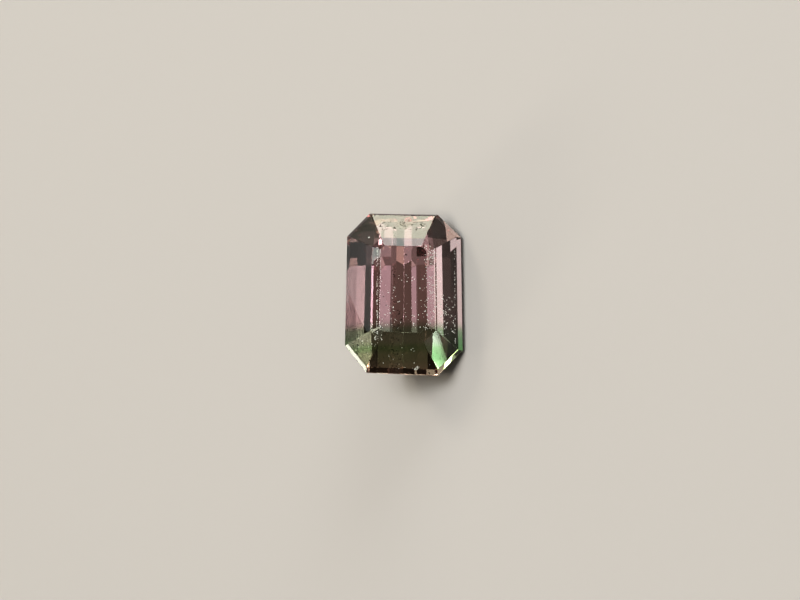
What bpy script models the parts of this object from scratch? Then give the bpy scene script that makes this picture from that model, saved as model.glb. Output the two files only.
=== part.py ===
"""Bicolor tourmaline: one emerald-cut gem, pink at one end and green at the other.

The stone is ground the way a cutter grinds it: a block of rough is set against the lap once for
every facet. It is cut with its table facing +Z and its length along Y. It is then laid on the second
pavilion step of one long side, where a loose stone of this shape comes to rest, with its length along
X and the pink end towards +X. Metres, +Z up, origin on the ground under the middle of its box.
"""
import math
from collections import namedtuple

import bmesh
import bpy
from mathutils import Matrix, Vector

MM = 0.001

# Crown: three steps from the girdle up to the table, level with each other all the way round.
BREAK_RISE = 0.23 * MM
MAIN_RISE = 0.71 * MM
INNER_RISE = 0.17 * MM
INNER_WIDTH = 0.37 * MM

# Girdle: the upright band between crown and pavilion.
GIRDLE_BAND = 0.10 * MM

# Pavilion: four steps from the girdle to the keel. The upper three drop by these heights, and the last
# runs on down to the keel. Each kind of side leans at its own angles from the table's plane. The ends
# are the steepest, which makes a long keel.
STEP_DROPS = (1.02 * MM, 1.03 * MM, 0.63 * MM)
PAVILION_ANGLES_DEG = {
    "long": (49.1, 45.4, 39.3, 29.9),
    "end": (75.7, 65.0, 42.7, 34.1),
    "corner": (69.6, 58.2, 45.2, 35.8),
}

# The stone rests on this step of its resting side, counted from 0 at the girdle.
RESTING_STEP = 1

# The eight sides of the outline, counter-clockwise as seen from above the table. Each faces a
# direction measured from +X of the cutting frame, at a distance from the stone's middle. The break
# and main steps of the crown vary a little in width from side to side, as hand cutting leaves them.
Side = namedtuple("Side", "kind facing_deg distance break_width main_width")
RESTING_SIDE = Side("long", 0.0, 2.470 * MM, 0.20 * MM, 0.940 * MM)
PINK_CORNER_BY_REST = Side("corner", 44.0, 3.485 * MM, 0.16 * MM, 1.120 * MM)
PINK_END = Side("end", 88.4, 3.510 * MM, 0.11 * MM, 1.145 * MM)
PINK_CORNER_ABOVE = Side("corner", 135.7, 3.500 * MM, 0.14 * MM, 1.085 * MM)
UPPER_SIDE = Side("long", 178.5, 2.460 * MM, 0.13 * MM, 0.950 * MM)
GREEN_CORNER_ABOVE = Side("corner", 218.0, 3.320 * MM, 0.13 * MM, 1.030 * MM)
GREEN_END = Side("end", 267.1, 3.410 * MM, 0.21 * MM, 1.020 * MM)
GREEN_CORNER_BY_REST = Side("corner", 314.5, 3.465 * MM, 0.15 * MM, 1.170 * MM)
SIDES = (
    RESTING_SIDE,
    PINK_CORNER_BY_REST,
    PINK_END,
    PINK_CORNER_ABOVE,
    UPPER_SIDE,
    GREEN_CORNER_ABOVE,
    GREEN_END,
    GREEN_CORNER_BY_REST,
)

# The edges that hands and cloths reach, on the crown and the girdle, are rubbed to a flat of this
# width. Where two facets meet at less than the shallow angle, nothing stands proud enough for that.
WORN_FLAT = 0.018 * MM
SHALLOW_ANGLE = math.radians(9.0)

# The rough stands clear of every facet that is ground from it.
ROUGH_SIZE = 12.0 * MM


def clear_scene():
    """Remove the objects that a new file starts with."""
    for existing in list(bpy.data.objects):
        bpy.data.objects.remove(existing, do_unlink=True)


def grind(stone, point, normal):
    """Cut away all the rough beyond a plane and close the flat facet that is left."""
    cut = bmesh.ops.bisect_plane(
        stone,
        geom=stone.verts[:] + stone.edges[:] + stone.faces[:],
        plane_co=point,
        plane_no=normal,
        clear_outer=True,
    )
    rim = [item for item in cut["geom_cut"] if isinstance(item, bmesh.types.BMEdge)]
    bmesh.ops.contextual_create(stone, geom=rim)


def side_direction(side):
    """Level unit vector in the direction that a side of the outline faces."""
    facing = math.radians(side.facing_deg)
    return Vector((math.cos(facing), math.sin(facing), 0.0))


def facet_normal(side, slope):
    """Outward normal of a facet that leans at a slope from the table's plane.

    The slope is in radians, positive on the crown and negative on the pavilion.
    """
    upright = Vector((0.0, 0.0, math.copysign(math.cos(slope), slope)))
    return side_direction(side) * abs(math.sin(slope)) + upright


def grind_step(stone, side, distance, height, slope):
    """Grind one sloping facet from a level edge at a distance and height."""
    edge_point = side_direction(side) * distance + Vector((0.0, 0.0, height))
    grind(stone, edge_point, facet_normal(side, slope))


def grind_girdle(stone):
    """Grind the eight upright sides of the outline."""
    for side in SIDES:
        grind(stone, side_direction(side) * side.distance, side_direction(side))


def grind_crown(stone):
    """Grind the crown's three steps and the flat table that tops them."""
    for side in SIDES:
        distance = side.distance
        height = GIRDLE_BAND / 2
        steps = ((side.break_width, BREAK_RISE), (side.main_width, MAIN_RISE), (INNER_WIDTH, INNER_RISE))
        for width, rise in steps:
            grind_step(stone, side, distance, height, math.atan2(rise, width))
            distance -= width
            height += rise
    table_height = GIRDLE_BAND / 2 + BREAK_RISE + MAIN_RISE + INNER_RISE
    grind(stone, Vector((0.0, 0.0, table_height)), Vector((0.0, 0.0, 1.0)))


def grind_pavilion(stone):
    """Grind the pavilion's steps, the last of them down to the keel."""
    for side in SIDES:
        slopes = [math.radians(angle) for angle in PAVILION_ANGLES_DEG[side.kind]]
        distance = side.distance
        height = -GIRDLE_BAND / 2
        for slope, drop in zip(slopes, STEP_DROPS):
            grind_step(stone, side, distance, height, -slope)
            distance -= drop / math.tan(slope)
            height -= drop
        grind_step(stone, side, distance, height, -slopes[-1])


def wear_edges(stone):
    """Rub a narrow flat along every sharp edge of the crown and the girdle."""
    flats = []
    for edge in stone.edges:
        first, second = (face.normal for face in edge.link_faces)
        turn = first.angle(second)
        middle = (edge.verts[0].co + edge.verts[1].co) / 2
        if turn > SHALLOW_ANGLE and middle.z > -GIRDLE_BAND:
            normal = (first + second).normalized()
            depth = WORN_FLAT / 2 * math.tan(turn / 2)
            flats.append((middle - normal * depth, normal))
    for point, normal in flats:
        grind(stone, point, normal)


def resting_rotation():
    """Rotation that lays the stone on its resting side's second step, with its length along X."""
    slope = math.radians(PAVILION_ANGLES_DEG[RESTING_SIDE.kind][RESTING_STEP])
    up = -facet_normal(RESTING_SIDE, -slope)
    length = Vector((0.0, 1.0, 0.0))
    along = (length - up * length.dot(up)).normalized()
    return Matrix((along, up.cross(along), up))


def seat(stone):
    """Set the stone's lowest facet on the ground, under the middle of its bounding box."""
    corners = [vertex.co for vertex in stone.verts]
    low = Vector([min(corner[axis] for corner in corners) for axis in range(3)])
    high = Vector([max(corner[axis] for corner in corners) for axis in range(3)])
    bottom_middle = Vector(((low.x + high.x) / 2, (low.y + high.y) / 2, low.z))
    bmesh.ops.translate(stone, verts=stone.verts, vec=-bottom_middle)


def tourmaline_material():
    """Clear polished tourmaline, in the brownish rose of the stone's middle."""
    material = bpy.data.materials.new("tourmaline")
    material.use_nodes = True
    shader = material.node_tree.nodes["Principled BSDF"]
    shader.inputs["Base Color"].default_value = (0.48, 0.24, 0.24, 1.0)
    shader.inputs["Roughness"].default_value = 0.03
    shader.inputs["Metallic"].default_value = 0.0
    shader.inputs["IOR"].default_value = 1.63
    shader.inputs["Transmission Weight"].default_value = 1.0
    return material


def make_tourmaline(collection):
    """Grind the whole stone, lay it down and add it to a collection."""
    stone = bmesh.new()
    bmesh.ops.create_cube(stone, size=ROUGH_SIZE)
    grind_girdle(stone)
    grind_crown(stone)
    grind_pavilion(stone)
    bmesh.ops.recalc_face_normals(stone, faces=stone.faces)
    wear_edges(stone)
    bmesh.ops.rotate(stone, verts=stone.verts, cent=(0.0, 0.0, 0.0), matrix=resting_rotation())
    seat(stone)

    mesh = bpy.data.meshes.new("tourmaline")
    stone.to_mesh(mesh)
    stone.free()
    mesh.materials.append(tourmaline_material())
    collection.objects.link(bpy.data.objects.new("tourmaline", mesh))


def main():
    clear_scene()
    collection = bpy.data.collections.new("Bicolor tourmaline")
    bpy.context.scene.collection.children.link(collection)
    make_tourmaline(collection)


main()
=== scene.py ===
"""Looks for the bicolor tourmaline: clear pink and green gem material, the dust that lies on its
crown and two lines of pale flakes that are painted edge highlights, a pale floor, soft studio
light and a camera that looks at the table as the photo does."""
import math
import random
from collections import namedtuple

import bmesh
import bpy
from mathutils import Matrix, Vector
from mathutils.bvhtree import BVHTree


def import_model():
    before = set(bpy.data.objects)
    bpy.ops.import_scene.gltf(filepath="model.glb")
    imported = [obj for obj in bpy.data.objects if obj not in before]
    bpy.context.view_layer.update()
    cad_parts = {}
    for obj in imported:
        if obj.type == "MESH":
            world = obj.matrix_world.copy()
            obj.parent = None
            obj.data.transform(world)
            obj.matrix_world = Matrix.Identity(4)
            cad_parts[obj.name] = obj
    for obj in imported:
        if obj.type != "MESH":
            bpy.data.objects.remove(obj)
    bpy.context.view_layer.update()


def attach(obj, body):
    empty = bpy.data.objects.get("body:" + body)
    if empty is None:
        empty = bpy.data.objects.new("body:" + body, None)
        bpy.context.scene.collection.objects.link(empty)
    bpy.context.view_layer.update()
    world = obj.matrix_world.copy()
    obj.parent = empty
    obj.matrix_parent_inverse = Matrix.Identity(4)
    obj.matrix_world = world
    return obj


MM = 0.001

# How the stone lies: its long axis runs along +X, to the pink end, and its table leans forward from
# level.
STONE_LENGTH = 7.04 * MM
TABLE_LEAN_DEG = 45.4
CROWN_HEIGHT = 1.11 * MM

# The view: how far the camera leaves the table's normal, towards the green end and towards the long
# side that the stone rests on, and how far it is rolled. The pink end is at the top of the picture.
TOWARD_GREEN_DEG = 10.33
TOWARD_REST_DEG = -0.23
ROLL_DEG = 0.62
LENS_MM = 85.0
SENSOR_MM = 36.0
CLIP_START = 1.0 * MM
FRAME_WIDTH = 34.04 * MM
FRAME_WIDTH_PX = 800
# Where the middle of the stone's girdle shows, from the middle of the picture.
GIRDLE_RIGHT_PX = 3.25
GIRDLE_UP_PX = 6.1

# Soft studio light. Azimuth runs from +X towards +Y, and elevation up from the floor, in degrees.
# half_angle is how big a round softbox looks from the stone, and radiance how bright its face is.
Softbox = namedtuple("Softbox", "azimuth elevation half_angle radiance colour")
COOL = (0.92, 1.00, 0.95)
WARM = (1.00, 1.00, 0.83)
WHITE = (0.90, 1.00, 1.07)
SOFTBOXES = (
    # In front, on the side that the table faces
    Softbox(-89, 17, 15, 0.38, WARM),
    Softbox(-51, 18, 8, 0.48, COOL),
    Softbox(-117, 40, 4, 1.9, COOL),
    Softbox(-73, 44, 24, 0.105, WARM),
    Softbox(-101, 44, 4, 0.06, WHITE),
    Softbox(-76.5, 47.3, 3.4, 0.33, WHITE),
    Softbox(-53, 58.5, 4.5, 3.0, COOL),
    Softbox(-67.5, 61.5, 4.5, 6.3, WHITE),
    Softbox(-123, 65, 21.5, 0.32, COOL),
    # Beyond the pink end
    Softbox(-7, 9.5, 5, 5.8, WARM),
    Softbox(-27, 15.5, 13.5, 3.8, COOL),
    Softbox(15, 35, 9, 0.9, WARM),
    Softbox(42, 43, 7.5, 7.2, WARM),
    Softbox(0, 65.5, 6.5, 3.8, WHITE),
    Softbox(22, 71.5, 5, 3.7, COOL),
    Softbox(-42, 76.5, 13, 6.0, COOL),
    # Behind
    Softbox(117, 19.5, 6, 7.5, WARM),
    Softbox(63, 23, 18, 0.52, COOL),
    Softbox(102, 37.5, 12.5, 0.40, WARM),
    Softbox(58, 63, 6.5, 0.85, COOL),
    # Beyond the green end
    Softbox(-178, 79.5, 9, 4.4, WARM),
)
SOFTBOX_DISTANCE = 0.5
# The surroundings are dim where the stone mirrors them, and a pale wall where the camera sees them.
SURROUNDINGS_COLOUR = (0.030, 0.026, 0.022)
WALL_COLOUR = (0.45, 0.43, 0.39)
FLOOR_SIZE = 3.0
FLOOR_COLOUR = (0.61, 0.545, 0.54)
# A polished facet on a table touches it at a few points only: this thin layer of air is under it.
FLOOR_GAP = 0.02 * MM
MATT_ROUGHNESS = 0.9
# A ray of light is followed through this many reflections and refractions in the stone.
LIGHT_BOUNCES = 32

# Tourmaline: refractive index, the tint along its length, measured from the middle towards the pink
# end, and the brownish body.
TOURMALINE_IOR = 1.63
Tint = namedtuple("Tint", "along colour")
TINTS = (
    Tint(-3.40 * MM, (0.520, 0.700, 0.380)),
    Tint(-2.70 * MM, (0.260, 0.560, 0.220)),
    Tint(-2.40 * MM, (0.130, 0.440, 0.120)),
    Tint(-2.05 * MM, (0.260, 0.560, 0.280)),
    Tint(-1.66 * MM, (0.170, 0.400, 0.190)),
    Tint(-1.10 * MM, (0.940, 0.850, 0.840)),
    Tint(3.40 * MM, (0.950, 0.865, 0.880)),
)
TINT_WAVER = 0.12 * MM
TINT_WAVER_SCALE = 900.0
TINT_WAVER_DETAIL = 1.0
BODY_COLOUR = (0.84, 0.06, 0.15)
BODY_DENSITY = 70.0
# Fine growth lines along the length, where the tint is a little deeper.
STREAK_STRETCH = 0.04
STREAK_SCALE = 2600.0
STREAK_DETAIL = 3.0
STREAK_DARK = (0.90, 0.88, 0.89)
STREAK_DARK_BELOW = 0.35
STREAK_CLEAR_ABOVE = 0.60
WHITE_TINT = (1.0, 1.0, 1.0)
# Facet edges are frosted by wear for this far on each side, most where the rounded normal is this
# far from the flat one.
FROST_REACH = 0.015 * MM
FROST_FULL_AT = 0.2
FROST_ROUGHNESS = 0.35
FROST_SAMPLES = 4

# Dust on the crown, and two lines of pale flakes that are painted edge highlights, in patches placed
# as the camera sees them: right of and above the middle of the girdle, with half sizes to each side.
# width is the usual width of a flake.
Patch = namedtuple("Patch", "right up half_right half_up flakes width")
PALE_DUST_AND_GLINT_LINES = (
    # The first two patches are one flake wide and are painted highlights. They are lines of pale flakes
    # along the table's left edge and an edge on the right, standing for the glint on those worn edges.
    Patch(-1.09 * MM, 0.12 * MM, 0.03 * MM, 1.85 * MM, 75, 0.036 * MM),
    Patch(2.19 * MM, -0.13 * MM, 0.02 * MM, 2.00 * MM, 50, 0.034 * MM),
    Patch(-0.03 * MM, -0.34 * MM, 0.90 * MM, 1.17 * MM, 70, 0.034 * MM),
    Patch(1.14 * MM, 0.12 * MM, 0.26 * MM, 1.80 * MM, 120, 0.034 * MM),
    Patch(1.24 * MM, 0.60 * MM, 0.16 * MM, 1.25 * MM, 130, 0.027 * MM),
    Patch(1.82 * MM, -0.90 * MM, 0.38 * MM, 0.85 * MM, 100, 0.040 * MM),
    Patch(1.18 * MM, 1.74 * MM, 0.30 * MM, 0.30 * MM, 20, 0.045 * MM),
    Patch(-1.10 * MM, -1.69 * MM, 0.25 * MM, 0.50 * MM, 30, 0.036 * MM),
    Patch(-1.75 * MM, -2.20 * MM, 0.30 * MM, 0.35 * MM, 12, 0.036 * MM),
    Patch(0.07 * MM, -2.64 * MM, 1.10 * MM, 0.55 * MM, 16, 0.034 * MM),
    Patch(0.58 * MM, -3.12 * MM, 0.10 * MM, 0.06 * MM, 8, 0.070 * MM),
    Patch(-1.44 * MM, 2.40 * MM, 0.01 * MM, 0.01 * MM, 1, 0.090 * MM),
)
DARK_GRIT = (
    Patch(-0.05 * MM, 2.92 * MM, 0.95 * MM, 0.20 * MM, 80, 0.044 * MM),
)
# The darkest and palest shades of each; the pale ones also colour the painted edge highlights.
PALE_DUST_AND_GLINT_SHADES = ((0.72, 0.68, 0.63), (0.95, 0.95, 0.93))
DARK_GRIT_SHADES = ((0.03, 0.03, 0.025), (0.12, 0.12, 0.09))
SHADE_SCALE = 6000.0
SHADE_DETAIL = 2.0
SHADE_DARKEST_BELOW = 0.3
SHADE_PALEST_ABOVE = 0.6
# A flake's own width against its patch's, its length, breadth and thickness against that width, how
# ragged its outline is, and how high its middle lies, as a share of half its thickness.
FLAKE_SPREAD = (0.5, 1.5)
FLAKE_LENGTH = (0.8, 1.8)
FLAKE_BREADTH = (0.6, 1.0)
FLAKE_THICKNESS = 0.25
FLAKE_RAGGED = (0.75, 1.25)
FLAKE_LIFT = 0.8
DUST_SEED = 7


def table_axes():
    """Directions across the table to the side the stone rests on, along it to the pink end, and out."""
    lean = math.radians(TABLE_LEAN_DEG)
    across = Vector((0.0, -math.cos(lean), -math.sin(lean)))
    along = Vector((1.0, 0.0, 0.0))
    return across, along, across.cross(along)


def view_frame():
    """Right, up and back directions of the camera, with the pink end at the top of the picture."""
    across, along, out = table_axes()
    green = math.radians(TOWARD_GREEN_DEG)
    rest = math.radians(TOWARD_REST_DEG)
    back = out * math.cos(green) * math.cos(rest) - along * math.sin(green) + across * math.sin(rest)
    back.normalize()
    level_up = (along - back * along.dot(back)).normalized()
    up = Matrix.Rotation(-math.radians(ROLL_DEG), 3, back) @ level_up
    return up.cross(back), up, back


def girdle_middle(gem):
    """Middle of the stone's outline, measured across and along the table's plane."""
    across, along, out = table_axes()
    corners = [vertex.co for vertex in gem.data.vertices]
    middle = out * (max(corner.dot(out) for corner in corners) - CROWN_HEIGHT)
    for axis in (across, along):
        reach = [corner.dot(axis) for corner in corners]
        middle += axis * (min(reach) + max(reach)) / 2
    return middle


def add_camera(gem):
    """Camera square to the table but for the small angles the photo was taken at."""
    right, up, back = view_frame()
    pixel = FRAME_WIDTH / FRAME_WIDTH_PX
    aim = girdle_middle(gem) - right * GIRDLE_RIGHT_PX * pixel - up * GIRDLE_UP_PX * pixel
    camera = bpy.data.objects.new("camera", bpy.data.cameras.new("camera"))
    camera.data.lens = LENS_MM
    camera.data.sensor_width = SENSOR_MM
    camera.data.clip_start = CLIP_START
    place = aim + back * FRAME_WIDTH * LENS_MM / SENSOR_MM
    camera.matrix_world = Matrix.Translation(place) @ Matrix((right, up, back)).transposed().to_4x4()
    bpy.context.collection.objects.link(camera)
    bpy.context.scene.camera = camera


def plain_material(name, colour, roughness):
    """Material of one colour, and its shader."""
    material = bpy.data.materials.new(name)
    material.use_nodes = True
    shader = material.node_tree.nodes["Principled BSDF"]
    shader.inputs["Base Color"].default_value = (*colour, 1.0)
    shader.inputs["Roughness"].default_value = roughness
    return material, shader


def add_floor():
    """Pale floor, just below the stone."""
    bpy.ops.mesh.primitive_plane_add(size=FLOOR_SIZE, location=(0.0, 0.0, -FLOOR_GAP))
    floor = bpy.context.object
    floor.name = "floor"
    material, _ = plain_material("floor", FLOOR_COLOUR, MATT_ROUGHNESS)
    floor.data.materials.append(material)


def add_surroundings():
    """Dim even surroundings, seen by the camera as a pale wall."""
    world = bpy.data.worlds.new("studio")
    world.use_nodes = True
    nodes = world.node_tree.nodes
    links = world.node_tree.links
    rays = nodes.new("ShaderNodeLightPath")
    seen = nodes.new("ShaderNodeMix")
    seen.data_type = "RGBA"
    seen.inputs["A"].default_value = (*SURROUNDINGS_COLOUR, 1.0)
    seen.inputs["B"].default_value = (*WALL_COLOUR, 1.0)
    links.new(rays.outputs["Is Camera Ray"], seen.inputs["Factor"])
    links.new(seen.outputs["Result"], nodes["Background"].inputs["Color"])
    bpy.context.scene.world = world


def add_softbox(name, box, target):
    """Round area light at a softbox's direction, facing the stone."""
    azimuth = math.radians(box.azimuth)
    elevation = math.radians(box.elevation)
    direction = Vector((
        math.cos(elevation) * math.cos(azimuth),
        math.cos(elevation) * math.sin(azimuth),
        math.sin(elevation),
    ))
    radius = SOFTBOX_DISTANCE * math.tan(math.radians(box.half_angle))
    light = bpy.data.lights.new(name, "AREA")
    light.shape = "DISK"
    light.size = 2 * radius
    light.color = box.colour
    light.energy = box.radiance * math.pi * math.pi * radius * radius
    lamp = bpy.data.objects.new(name, light)
    lamp.location = target + direction * SOFTBOX_DISTANCE
    lamp.rotation_euler = direction.to_track_quat("Z", "Y").to_euler()
    lamp.visible_camera = False
    bpy.context.collection.objects.link(lamp)


def set_render():
    """Contrasty tones, as the photo's, and enough bounces for light to find its way out."""
    scene = bpy.context.scene
    scene.view_settings.view_transform = "Standard"
    scene.view_settings.look = "High Contrast"
    scene.cycles.max_bounces = LIGHT_BOUNCES
    scene.cycles.transmission_bounces = LIGHT_BOUNCES
    scene.cycles.glossy_bounces = LIGHT_BOUNCES
    scene.cycles.caustics_refractive = False
    scene.cycles.caustics_reflective = False


def add_studio(gem):
    """Camera, floor, surroundings and softboxes."""
    add_camera(gem)
    add_floor()
    add_surroundings()
    target = girdle_middle(gem)
    for number, box in enumerate(SOFTBOXES):
        add_softbox(f"softbox_{number}", box, target)
    set_render()


def object_noise(nodes, links, vector, scale, detail):
    """Noise over a vector in the object's own coordinates."""
    noise = nodes.new("ShaderNodeTexNoise")
    noise.inputs["Scale"].default_value = scale
    noise.inputs["Detail"].default_value = detail
    links.new(vector, noise.inputs["Vector"])
    return noise.outputs["Fac"]


def two_shades(nodes, links, value, low, high):
    """Ramp between two (position, colour) ends."""
    ramp = nodes.new("ShaderNodeValToRGB")
    for stop, (position, colour) in zip(ramp.color_ramp.elements, (low, high)):
        stop.position = position
        stop.color = (*colour, 1.0)
    links.new(value, ramp.inputs["Fac"])
    return ramp.outputs["Color"]


def add_tint(nodes, links):
    """Tint the stone along its length, with the colour zones' borders slightly wavy."""
    place = nodes.new("ShaderNodeTexCoord").outputs["Object"]
    axes = nodes.new("ShaderNodeSeparateXYZ")
    links.new(place, axes.inputs["Vector"])
    waver = nodes.new("ShaderNodeMath")
    waver.operation = "MULTIPLY_ADD"
    waver.inputs[1].default_value = TINT_WAVER
    noise = object_noise(nodes, links, place, TINT_WAVER_SCALE, TINT_WAVER_DETAIL)
    links.new(noise, waver.inputs[0])
    links.new(axes.outputs["X"], waver.inputs[2])
    share = nodes.new("ShaderNodeMapRange")
    share.inputs["From Min"].default_value = TINTS[0].along
    share.inputs["From Max"].default_value = TINTS[-1].along
    links.new(waver.outputs["Value"], share.inputs["Value"])
    ramp = nodes.new("ShaderNodeValToRGB")
    ramp.color_ramp.interpolation = "EASE"
    stops = ramp.color_ramp.elements
    # A new stop starts halfway and is then moved to its place.
    while len(stops) < len(TINTS):
        stops.new(0.5)
    span = TINTS[-1].along - TINTS[0].along
    for stop, tint in zip(stops, TINTS):
        stop.position = (tint.along - TINTS[0].along) / span
        stop.color = (*tint.colour, 1.0)
    links.new(share.outputs["Result"], ramp.inputs["Fac"])
    return ramp.outputs["Color"]


def add_streaks(nodes, links, tint):
    """Vary the tint a little in fine growth lines that run along the crystal's length."""
    stretch = nodes.new("ShaderNodeVectorMath")
    stretch.operation = "MULTIPLY"
    stretch.inputs[1].default_value = (STREAK_STRETCH, 1.0, 1.0)
    place = nodes.new("ShaderNodeTexCoord").outputs["Object"]
    links.new(place, stretch.inputs[0])
    noise = object_noise(nodes, links, stretch.outputs["Vector"], STREAK_SCALE, STREAK_DETAIL)
    dark = (STREAK_DARK_BELOW, STREAK_DARK)
    clear = (STREAK_CLEAR_ABOVE, WHITE_TINT)
    streaked = nodes.new("ShaderNodeMix")
    streaked.data_type = "RGBA"
    streaked.blend_type = "MULTIPLY"
    streaked.inputs["Factor"].default_value = 1.0
    links.new(tint, streaked.inputs["A"])
    links.new(two_shades(nodes, links, noise, dark, clear), streaked.inputs["B"])
    return streaked.outputs["Result"]


def add_frost(nodes, links, shader):
    """Roughen the facets' worn edges, where a rounded normal would leave the flat facet's."""
    rounded = nodes.new("ShaderNodeBevel")
    rounded.samples = FROST_SAMPLES
    rounded.inputs["Radius"].default_value = FROST_REACH
    flat = nodes.new("ShaderNodeNewGeometry")
    apart = nodes.new("ShaderNodeVectorMath")
    apart.operation = "DISTANCE"
    links.new(rounded.outputs["Normal"], apart.inputs[0])
    links.new(flat.outputs["True Normal"], apart.inputs[1])
    frost = nodes.new("ShaderNodeMapRange")
    frost.inputs["From Max"].default_value = FROST_FULL_AT
    frost.inputs["To Max"].default_value = FROST_ROUGHNESS
    links.new(apart.outputs["Value"], frost.inputs["Value"])
    links.new(frost.outputs["Result"], shader.inputs["Roughness"])


def gem_material():
    """Clear tourmaline, pink at one end and green at the other, with a brownish body."""
    material, shader = plain_material("bicolor_tourmaline", TINTS[-1].colour, 0.0)
    nodes = material.node_tree.nodes
    links = material.node_tree.links
    shader.inputs["IOR"].default_value = TOURMALINE_IOR
    shader.inputs["Transmission Weight"].default_value = 1.0
    tint = add_streaks(nodes, links, add_tint(nodes, links))
    links.new(tint, shader.inputs["Base Color"])
    add_frost(nodes, links, shader)

    body = nodes.new("ShaderNodeVolumeAbsorption")
    body.inputs["Color"].default_value = (*BODY_COLOUR, 1.0)
    body.inputs["Density"].default_value = BODY_DENSITY
    links.new(body.outputs["Volume"], nodes["Material Output"].inputs["Volume"])
    return material


def dust_and_glint_material(name, shades):
    """Dry lint, and pale flakes laid as painted edge highlights, whose flakes differ in shade."""
    darkest, palest = shades
    material, shader = plain_material(name, palest, MATT_ROUGHNESS)
    nodes = material.node_tree.nodes
    links = material.node_tree.links
    place = nodes.new("ShaderNodeTexCoord").outputs["Object"]
    noise = object_noise(nodes, links, place, SHADE_SCALE, SHADE_DETAIL)
    dark = (SHADE_DARKEST_BELOW, darkest)
    pale = (SHADE_PALEST_ABOVE, palest)
    links.new(two_shades(nodes, links, noise, dark, pale), shader.inputs["Base Color"])
    return material


def add_flake(dust, place, normal, width, chance):
    """One uneven flake lying flat on a facet."""
    made = bmesh.ops.create_icosphere(dust, subdivisions=1, radius=width / 2)
    spin = Matrix.Rotation(chance.uniform(0.0, math.tau), 3, "Z")
    lie = normal.to_track_quat("Z", "X").to_matrix() @ spin
    stretch = Vector((chance.uniform(*FLAKE_LENGTH), chance.uniform(*FLAKE_BREADTH), FLAKE_THICKNESS))
    rise = normal * width / 2 * FLAKE_THICKNESS * FLAKE_LIFT
    for vertex in made["verts"]:
        vertex.co = place + rise + lie @ (vertex.co * stretch * chance.uniform(*FLAKE_RAGGED))


def add_dust_and_glint_lines(name, gem, patches, shades, chance):
    """Scatter flakes in patches over the facets that the camera sees."""
    right, up, back = view_frame()
    middle = girdle_middle(gem)
    above = back * STONE_LENGTH
    surface = BVHTree.FromObject(gem, bpy.context.evaluated_depsgraph_get())
    dust = bmesh.new()
    for patch in patches:
        for _ in range(patch.flakes):
            across = patch.right + chance.uniform(-1.0, 1.0) * patch.half_right
            along = patch.up + chance.uniform(-1.0, 1.0) * patch.half_up
            place, normal, _, _ = surface.ray_cast(middle + right * across + up * along + above, -back)
            if place is not None:
                add_flake(dust, place, normal, patch.width * chance.uniform(*FLAKE_SPREAD), chance)
    mesh = bpy.data.meshes.new(name)
    dust.to_mesh(mesh)
    dust.free()
    mesh.materials.append(dust_and_glint_material(name, shades))
    piece = bpy.data.objects.new(name, mesh)
    bpy.context.collection.objects.link(piece)
    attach(piece, "root")


def main():
    """Dress the stone and set up its studio."""
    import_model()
    gem = bpy.data.objects["tourmaline"]
    gem.material_slots[0].material = gem_material()
    chance = random.Random(DUST_SEED)
    # Pale dust, and two lines of pale flakes that are painted edge highlights.
    add_dust_and_glint_lines("pale_dust_and_glint_lines", gem, PALE_DUST_AND_GLINT_LINES, PALE_DUST_AND_GLINT_SHADES, chance)
    add_dust_and_glint_lines("dark_grit", gem, DARK_GRIT, DARK_GRIT_SHADES, chance)
    add_studio(gem)


main()
